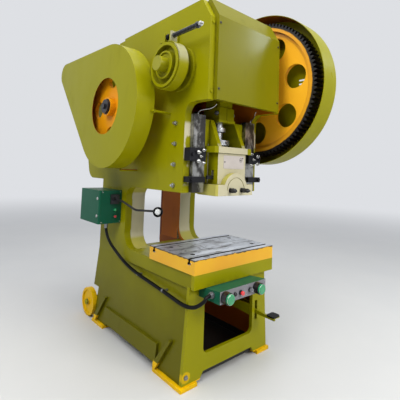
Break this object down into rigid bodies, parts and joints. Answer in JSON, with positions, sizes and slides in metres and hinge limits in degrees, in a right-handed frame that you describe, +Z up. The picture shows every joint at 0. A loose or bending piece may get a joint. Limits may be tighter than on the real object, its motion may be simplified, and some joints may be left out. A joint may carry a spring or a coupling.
{
  "type": "stamping press",
  "caption": "Open-back mechanical stamping press with a C-frame, geared crank drive, flywheel, slide over a bolted table, band brake and two-hand control box",
  "frame": {"origin": "centre of the four foundation bolts, on the floor", "axes": "+Z up, +Y to the back of the machine, +X to the right as seen from the front"},
  "size_m": [1.364, 2.478, 2.8849],
  "materials": {
    "press_paint": "gloss",
    "gear_paint": "satin",
    "inner_paint": "satin",
    "table_steel": "ground",
    "steel": "machined",
    "cast": "cast",
    "slide_paint": "gloss",
    "bronze": "machined",
    "black_metal": "satin",
    "rubber": "matte",
    "box_paint": "satin",
    "motor_paint": "satin",
    "black_plastic": "matte",
    "green_plastic": "gloss",
    "red_plastic": "gloss",
    "bulb_glass": "clear",
    "wheel_paint": "satin"
  },
  "bodies": {
    "base": {"side_plate_left": "press_paint", "side_plate_right": "press_paint", "bed_box": "press_paint", "front_plate": "press_paint", "columns": "press_paint", "roof_plate": "press_paint", "frame_ties": "press_paint", "crank_housings": "press_paint", "crank_bushes": "bronze", "drive_bearings": "press_paint", "motor": "motor_paint", "motor_bracket": "press_paint", "v_belts": "rubber", "flywheel_guard": "press_paint", "gear_guard": "press_paint", "brake_band": "steel", "brake_bolt": "steel", "brake_spring": "steel", "gibs": "cast", "gib_screws": "black_metal", "gib_clamps": "black_metal", "front_cover": "press_paint", "table": "table_steel", "table_bolts": "black_metal", "cabinet": "box_paint", "lamp_arm": "black_plastic", "pilot_lamp": "green_plastic", "lamp_shade": "black_metal", "lamp_bulb": "bulb_glass", "control_box": "box_paint", "button_collars": "black_plastic", "conduit_fittings": "steel", "conduit": "rubber"},
    "gear": {"bull_gear": "gear_paint", "gear_bush": "bronze"},
    "drive": {"pinion_shaft": "steel", "flywheel": "gear_paint"},
    "rotor": {"motor_pulley": "cast"},
    "crank": {"crankshaft": "steel", "brake_drum": "press_paint"},
    "rod": {"connecting_rod": "cast", "rod_cap": "cast", "rod_bolts": "steel", "rod_bush": "bronze", "ball_screw": "steel"},
    "ram": {"slide": "slide_paint", "shank_clamp": "slide_paint", "clamp_studs": "black_metal", "ball_seat": "bronze"},
    "knockout": {"knockout_bar": "steel"},
    "palm_left": {"palm_button_left": "green_plastic"},
    "palm_right": {"palm_button_right": "green_plastic"},
    "stop_head": {"emergency_stop": "red_plastic"},
    "selector": {"selector_knob": "black_plastic"},
    "cabinet_stop": {"stop_button": "red_plastic"},
    "door": {"cabinet_door": "box_paint"},
    "pedal": {"pedal_lever": "press_paint", "pedal_pad": "rubber"},
    "roller_left": {"wheel_left": "wheel_paint"},
    "roller_right": {"wheel_right": "wheel_paint"}
  },
  "joints": [
    {"name": "bull_gear_spin", "type": "hinge", "parent": "base", "child": "gear", "pos_m": [0.53, -0.4675, 2.205], "axis": [1, 0, 0], "continuous": true},
    {"name": "drive_spin", "type": "hinge", "parent": "base", "child": "drive", "pos_m": [0, 0.1832, 1.958], "axis": [1, 0, 0], "continuous": true},
    {"name": "motor_spin", "type": "hinge", "parent": "base", "child": "rotor", "pos_m": [-0.6, 1.1505, 2.405], "axis": [1, 0, 0], "continuous": true},
    {"name": "crank_turn", "type": "hinge", "parent": "base", "child": "crank", "pos_m": [0, -0.4675, 2.205], "axis": [-1, 0, 0], "range_deg": [0, 180]},
    {"name": "rod_pivot", "type": "hinge", "parent": "crank", "child": "rod", "pos_m": [0, -0.4675, 2.27], "axis": [-1, 0, 0], "range_deg": [-180, 0]},
    {"name": "slide_stroke", "type": "slide", "parent": "base", "child": "ram", "axis": [0, 0, -1], "range_m": [0, 0.13]},
    {"name": "knockout_travel", "type": "slide", "parent": "ram", "child": "knockout", "axis": [0, 0, 1], "range_m": [0, 0.04]},
    {"name": "palm_left_press", "type": "slide", "parent": "base", "child": "palm_left", "axis": [0, 1, 0], "range_m": [0, 0.006], "stiffness_N_per_m": 800, "springref_m": -0.002},
    {"name": "palm_right_press", "type": "slide", "parent": "base", "child": "palm_right", "axis": [0, 1, 0], "range_m": [0, 0.006], "stiffness_N_per_m": 800, "springref_m": -0.002},
    {"name": "stop_press", "type": "slide", "parent": "base", "child": "stop_head", "axis": [0, 1, 0], "range_m": [0, 0.006], "stiffness_N_per_m": 800, "springref_m": -0.002},
    {"name": "selector_turn", "type": "hinge", "parent": "base", "child": "selector", "pos_m": [-0.024, -0.8775, 0.63], "axis": [0, 1, 0], "range_deg": [-45, 45]},
    {"name": "cabinet_stop_press", "type": "slide", "parent": "base", "child": "cabinet_stop", "axis": [0, 1, 0], "range_m": [0, 0.004], "stiffness_N_per_m": 800, "springref_m": -0.002},
    {"name": "cabinet_door_swing", "type": "hinge", "parent": "base", "child": "door", "pos_m": [-0.6035, 0.7305, 1.1], "axis": [0, 0, -1], "range_deg": [0, 110]},
    {"name": "pedal_press", "type": "hinge", "parent": "base", "child": "pedal", "pos_m": [0.308, -0.4075, 0.345], "axis": [1, 0, 0], "range_deg": [0, 8], "stiffness_Nm_per_rad": 120, "springref_deg": -14.32},
    {"name": "wheel_left_spin", "type": "hinge", "parent": "base", "child": "roller_left", "pos_m": [-0.43, 0.8225, 0.13], "axis": [1, 0, 0], "continuous": true},
    {"name": "wheel_right_spin", "type": "hinge", "parent": "base", "child": "roller_right", "pos_m": [0.43, 0.8225, 0.13], "axis": [1, 0, 0], "continuous": true}
  ],
  "couplings": [
    {"joint": "drive_spin", "follows": "bull_gear_spin", "ratio": -6.25},
    {"joint": "motor_spin", "follows": "bull_gear_spin", "ratio": -39.638},
    {"joint": "rod_pivot", "follows": "crank_turn", "ratio": -1},
    {"joint": "slide_stroke", "follows": "crank_turn", "m_per_rad": 0.04138}
  ]
}
